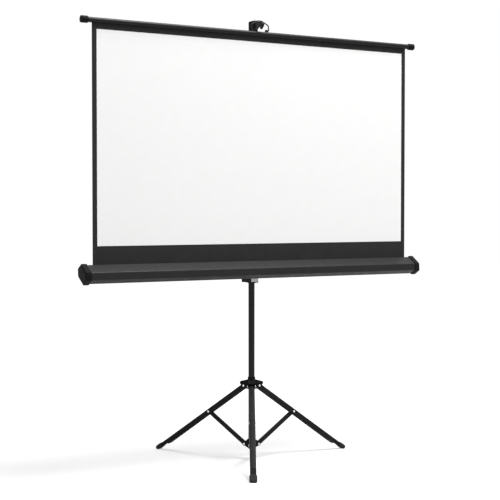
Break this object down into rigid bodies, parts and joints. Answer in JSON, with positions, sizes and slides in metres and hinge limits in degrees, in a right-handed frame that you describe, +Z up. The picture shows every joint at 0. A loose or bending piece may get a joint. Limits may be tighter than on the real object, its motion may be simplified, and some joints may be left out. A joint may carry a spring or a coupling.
{
  "type": "tripod projection screen",
  "caption": "Portable projection screen: white sheet on a spring roller in a six-sided casing, hung from a telescopic mast on a folding tripod stand.",
  "frame": {"origin": "on the floor, on the mast's axis, between the three feet", "axes": "+Z up along the mast, -Y the way the screen faces, X along the casing"},
  "size_m": [1.4556, 0.7501, 1.65],
  "materials": {
    "black_paint": "satin black powder coat",
    "case_paint": "satin black paint, fine grain",
    "black_plastic": "moulded, fine texture",
    "rubber": "matt",
    "zinc": "bright zinc plate",
    "nylon": "moulded nylon",
    "screen_fabric": "matt white with printed black borders",
    "wound_fabric": "matt black"
  },
  "bodies": {
    "mast": {"outer_mast_tube": "black_paint", "lower_collar": "black_plastic", "mast_end_plug": "black_plastic", "mast_top_bush": "black_plastic", "collar_rivet_1": "zinc", "collar_rivet_2": "zinc", "collar_rivet_3": "zinc"},
    "extension_knob": {"extension_lock_knob": "black_plastic"},
    "brace_1": {"brace_1": "black_paint"},
    "brace_2": {"brace_2": "black_paint"},
    "brace_3": {"brace_3": "black_paint"},
    "leg_1": {"leg_1": "black_paint", "leg_stem_1": "black_plastic", "foot_1": "rubber", "brace_rivet_1": "zinc"},
    "leg_2": {"leg_2": "black_paint", "leg_stem_2": "black_plastic", "foot_2": "rubber", "brace_rivet_2": "zinc"},
    "leg_3": {"leg_3": "black_paint", "leg_stem_3": "black_plastic", "foot_3": "rubber", "brace_rivet_3": "zinc"},
    "hub": {"leg_hub": "black_plastic", "hub_rivet_1": "zinc", "hub_rivet_2": "zinc", "hub_rivet_3": "zinc"},
    "hub_knob": {"hub_lock_knob": "black_plastic"},
    "glide": {"carriage_bush": "nylon"},
    "carriage": {"carriage_body": "black_plastic", "pivot_plate": "zinc", "casing_bracket": "black_paint", "pivot_bolt": "zinc", "pivot_nut": "zinc", "casing_shell": "case_paint", "end_cap_left": "black_plastic", "end_cap_right": "black_plastic", "spring_spindle": "zinc", "screen_sheet": "screen_fabric"},
    "carriage_knob": {"carriage_lock_knob": "black_plastic"},
    "roller": {"roller_tube": "zinc", "roller_bearing_left": "nylon", "roller_plug_right": "black_plastic", "torsion_spring": "zinc", "fabric_roll": "wound_fabric"},
    "extension": {"inner_mast_tube": "black_paint", "inner_tube_glide": "nylon", "mast_head": "black_plastic", "hanger_hook": "black_paint"},
    "rod": {"top_rod": "black_paint", "rod_cap_left": "black_plastic", "rod_cap_right": "black_plastic", "bail_clip_left": "black_plastic", "bail_clip_right": "black_plastic"},
    "bail": {"hanger_bail": "black_paint"}
  },
  "joints": [
    {"name": "leg_fold", "type": "hinge", "parent": "mast", "child": "brace_1", "pos_m": [-0.01383, -0.02319, 0.0565], "axis": [-0.859, 0.512, 0], "range_deg": [0, 49.2]},
    {"name": "brace_fold_2", "type": "hinge", "parent": "mast", "child": "brace_2", "pos_m": [0.027, -0.00038, 0.0565], "axis": [-0.014, -0.9999, 0], "range_deg": [0, 49.2]},
    {"name": "brace_fold_3", "type": "hinge", "parent": "mast", "child": "brace_3", "pos_m": [-0.01317, 0.02357, 0.0565], "axis": [0.8729, 0.4879, 0], "range_deg": [0, 49.2]},
    {"name": "leg_swing_1", "type": "hinge", "parent": "brace_1", "child": "leg_1", "pos_m": [-0.09458, -0.15866, 0.16775], "axis": [-0.859, 0.512, 0], "range_deg": [-98.4, 0]},
    {"name": "leg_swing_2", "type": "hinge", "parent": "brace_2", "child": "leg_2", "pos_m": [0.18469, -0.00258, 0.16775], "axis": [-0.014, -0.9999, 0], "range_deg": [-98.4, 0]},
    {"name": "leg_swing_3", "type": "hinge", "parent": "brace_3", "child": "leg_3", "pos_m": [-0.09011, 0.16124, 0.16775], "axis": [0.8729, 0.4879, 0], "range_deg": [-98.4, 0]},
    {"name": "hub_rise", "type": "hinge", "parent": "leg_1", "child": "hub", "pos_m": [-0.01383, -0.02319, 0.279], "axis": [-0.859, 0.512, 0], "range_deg": [0, 49.2]},
    {"name": "hub_lock", "type": "hinge", "parent": "hub", "child": "hub_knob", "pos_m": [0.012, 0.02078, 0.3091], "axis": [0.5, 0.866, 0], "range_deg": [0, 540]},
    {"name": "carriage_height", "type": "slide", "parent": "mast", "child": "glide", "axis": [0, 0, 1], "range_m": [-0.1, 0.12]},
    {"name": "screen_swivel", "type": "hinge", "parent": "glide", "child": "carriage", "pos_m": [0, 0, 0.71], "axis": [0, 0, 1], "continuous": true},
    {"name": "carriage_lock", "type": "hinge", "parent": "carriage", "child": "carriage_knob", "pos_m": [0, 0.053, 0.71], "axis": [0, 1, 0], "range_deg": [0, 540]},
    {"name": "mast_extension", "type": "slide", "parent": "carriage", "child": "extension", "axis": [0, 0, 1], "range_m": [-0.56, 0]},
    {"name": "extension_lock", "type": "hinge", "parent": "mast", "child": "extension_knob", "pos_m": [0, 0.02, 0.9093], "axis": [0, 1, 0], "range_deg": [0, 540]},
    {"name": "sheet_pull", "type": "slide", "parent": "carriage", "child": "rod", "axis": [0, 0, 1], "range_m": [-0.56, 0], "deforming": ["screen_sheet"]},
    {"name": "roller_spin", "type": "hinge", "parent": "carriage", "child": "roller", "pos_m": [0, -0.0753, 0.716], "axis": [1, 0, 0], "range_deg": [-2530, 0]},
    {"name": "bail_swing", "type": "hinge", "parent": "rod", "child": "bail", "pos_m": [0, -0.062, 1.6085], "axis": [1, 0, 0], "range_deg": [0, 110]}
  ],
  "couplings": [
    {"joint": "brace_fold_2", "follows": "leg_fold", "ratio": 1},
    {"joint": "brace_fold_3", "follows": "leg_fold", "ratio": 1},
    {"joint": "leg_swing_1", "follows": "leg_fold", "ratio": -2},
    {"joint": "leg_swing_2", "follows": "leg_fold", "ratio": -2},
    {"joint": "leg_swing_3", "follows": "leg_fold", "ratio": -2},
    {"joint": "hub_rise", "follows": "leg_fold", "ratio": 1},
    {"joint": "sheet_pull", "follows": "mast_extension", "ratio": 1},
    {"joint": "roller_spin", "follows": "mast_extension", "rad_per_m": 78.74}
  ]
}
